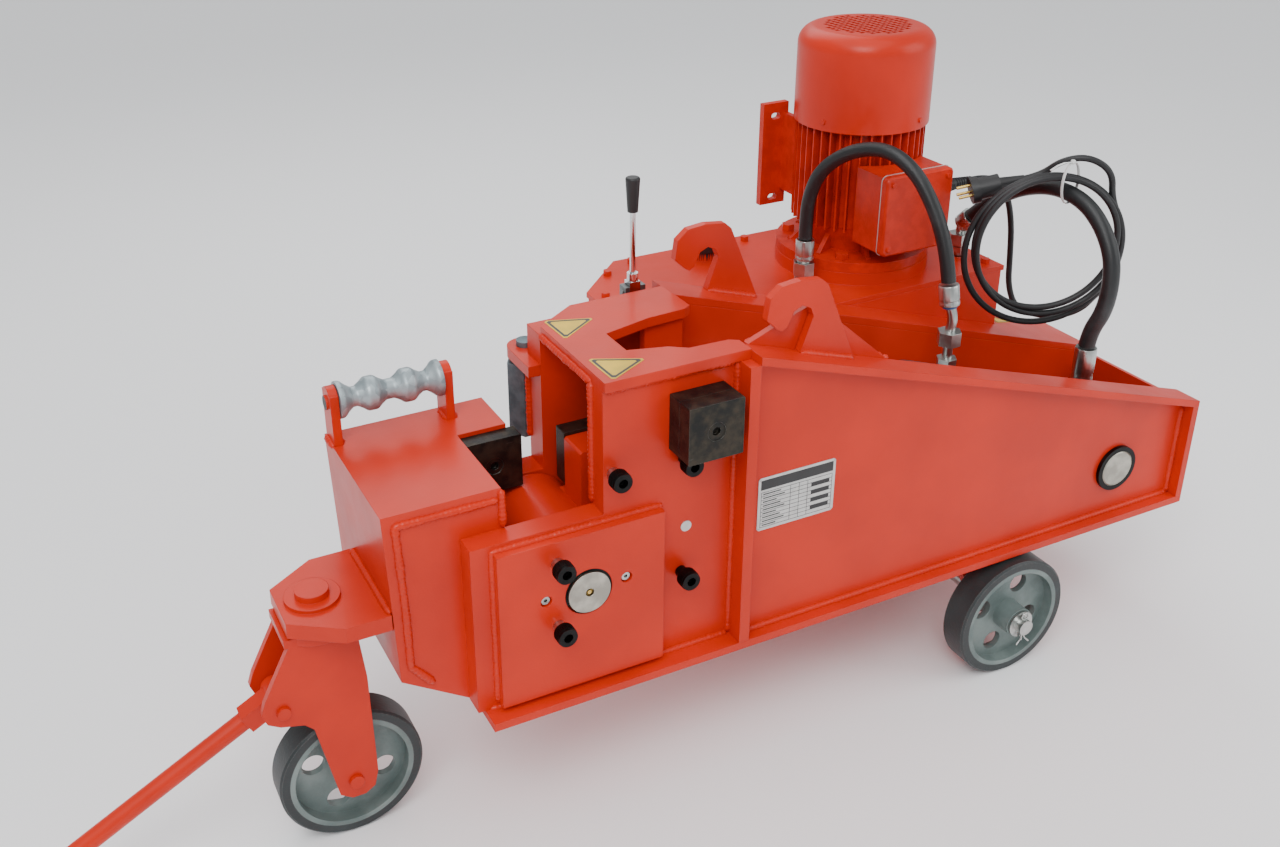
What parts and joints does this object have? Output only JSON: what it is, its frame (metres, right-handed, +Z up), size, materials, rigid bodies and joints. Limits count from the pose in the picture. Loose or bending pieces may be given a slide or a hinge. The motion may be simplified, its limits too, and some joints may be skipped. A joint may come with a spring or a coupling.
{
  "type": "hydraulic rebar cutter",
  "caption": "Wheeled hydraulic rebar cutter: a welded shear frame whose pivoting jaw is pushed by a ram fed from a vertical motor and pump on a side tank.",
  "frame": {"origin": "on the ground at the middle of the machine's footprint box, cord and hoses left out", "axes": "+X to the rear along the cylinder, +Y to the oil tank side, +Z up"},
  "size_m": [1.909, 0.654, 0.941],
  "materials": {
    "red_paint": "satin orange-red enamel",
    "ground_steel": "ground and oiled",
    "tool_steel": "dark hardened steel",
    "black_oxide": "black oxide",
    "galvanised": "galvanised",
    "zinc": "zinc plated",
    "chrome": "hard chrome",
    "cylinder_steel": "machined",
    "cast_grey": "cast iron, grey",
    "tyre_rubber": "solid rubber",
    "hose_rubber": "matt black",
    "cable_rubber": "matt black",
    "black_plastic": "moulded",
    "bronze": "bearing bronze"
  },
  "bodies": {
    "frame": {"base_plate": "red_paint", "body_walls": "red_paint", "frame_flanges": "red_paint", "near_column_plate": "red_paint", "far_column_plate": "red_paint", "column_top_plate": "red_paint", "cheek_plate": "red_paint", "front_block": "red_paint", "fixed_blade": "tool_steel", "pivot_pin": "ground_steel", "pivot_retainers": "black_oxide", "side_screws": "black_oxide", "spare_blades": "tool_steel", "roller_supports": "red_paint", "hold_down_arm": "red_paint", "lifting_hooks": "red_paint", "rear_pin": "ground_steel", "oil_tank": "red_paint", "tank_lid": "red_paint", "pack_bolts": "red_paint", "motor_end_shield": "red_paint", "motor_housing": "red_paint", "motor_feet": "red_paint", "terminal_box": "red_paint", "terminal_cover": "red_paint", "cable_gland": "black_plastic", "fan_cowl": "red_paint", "gear_pump": "cylinder_steel", "control_valve": "cylinder_steel", "tank_fittings": "zinc", "pressure_hose": "hose_rubber", "return_hose": "hose_rubber", "power_cable": "cable_rubber", "cable_coil": "cable_rubber", "power_plug": "black_plastic", "caster_mount": "red_paint", "axle_brackets": "red_paint", "rear_axle": "zinc"},
    "jaw": {"cutting_lever": "red_paint", "moving_blade": "tool_steel", "pivot_bushes": "bronze"},
    "barrel": {"cylinder_barrel": "cylinder_steel", "cylinder_head": "cylinder_steel", "barrel_fittings": "zinc"},
    "rod": {"piston_rod": "chrome"},
    "control": {"control_lever": "chrome", "lever_knob": "black_plastic"},
    "roller": {"bar_roller": "galvanised"},
    "hold_down": {"hold_down_screw": "galvanised"},
    "rotor": {"rotor_shaft": "ground_steel", "motor_fan": "black_plastic"},
    "caster": {"caster_fork": "red_paint", "fork_pins": "red_paint"},
    "front_wheel": {"front_wheel": "cast_grey", "front_tyre": "tyre_rubber"},
    "tow_bar": {"tow_bar": "red_paint"},
    "near_wheel": {"near_rear_wheel": "cast_grey", "near_rear_tyre": "tyre_rubber"},
    "far_wheel": {"far_rear_wheel": "cast_grey", "far_rear_tyre": "tyre_rubber"}
  },
  "joints": [
    {"name": "jaw_hinge", "type": "hinge", "parent": "frame", "child": "jaw", "pos_m": [-0.1155, -0.147, 0.368], "axis": [0, -1, 0], "range_deg": [0, 22]},
    {"name": "cylinder_pivot", "type": "hinge", "parent": "frame", "child": "barrel", "pos_m": [0.8125, -0.147, 0.297], "axis": [0, 1, 0], "range_deg": [0, 0.787]},
    {"name": "rod_stroke", "type": "slide", "parent": "barrel", "child": "rod", "axis": [-0.9464, 0, 0.3231], "range_m": [0, 0.0918]},
    {"name": "control_lever_tilt", "type": "hinge", "parent": "frame", "child": "control", "pos_m": [0.0905, 0, 0.648], "axis": [1, 0, 0], "range_deg": [-18, 18], "stiffness_Nm_per_rad": 2},
    {"name": "roller_spin", "type": "hinge", "parent": "frame", "child": "roller", "pos_m": [-0.2815, -0.008, 0.582], "axis": [1, 0, 0], "continuous": true},
    {"name": "hold_down_screw_feed", "type": "slide", "parent": "frame", "child": "hold_down", "axis": [0, 0, -1], "range_m": [0, 0.02]},
    {"name": "rotor_spin", "type": "hinge", "parent": "frame", "child": "rotor", "pos_m": [0.5905, 0.155, 0.704], "axis": [0, 0, 1], "continuous": true},
    {"name": "caster_swivel", "type": "hinge", "parent": "frame", "child": "caster", "pos_m": [-0.4425, -0.137, 0.354], "axis": [0, 0, 1], "range_deg": [-95, 95]},
    {"name": "front_wheel_spin", "type": "hinge", "parent": "caster", "child": "front_wheel", "pos_m": [-0.4205, -0.137, 0.1], "axis": [0, 1, 0], "continuous": true},
    {"name": "tow_bar_lift", "type": "hinge", "parent": "caster", "child": "tow_bar", "pos_m": [-0.5035, -0.137, 0.248], "axis": [0, 1, 0], "range_deg": [0, 98]},
    {"name": "near_wheel_spin", "type": "hinge", "parent": "frame", "child": "near_wheel", "pos_m": [0.6045, -0.2745, 0.1], "axis": [0, 1, 0], "continuous": true},
    {"name": "far_wheel_spin", "type": "hinge", "parent": "frame", "child": "far_wheel", "pos_m": [0.6045, 0.0505, 0.1], "axis": [0, 1, 0], "continuous": true}
  ],
  "couplings": [
    {"joint": "cylinder_pivot", "follows": "jaw_hinge", "ratio": 0.0335},
    {"joint": "rod_stroke", "follows": "jaw_hinge", "m_per_rad": 0.2378}
  ]
}
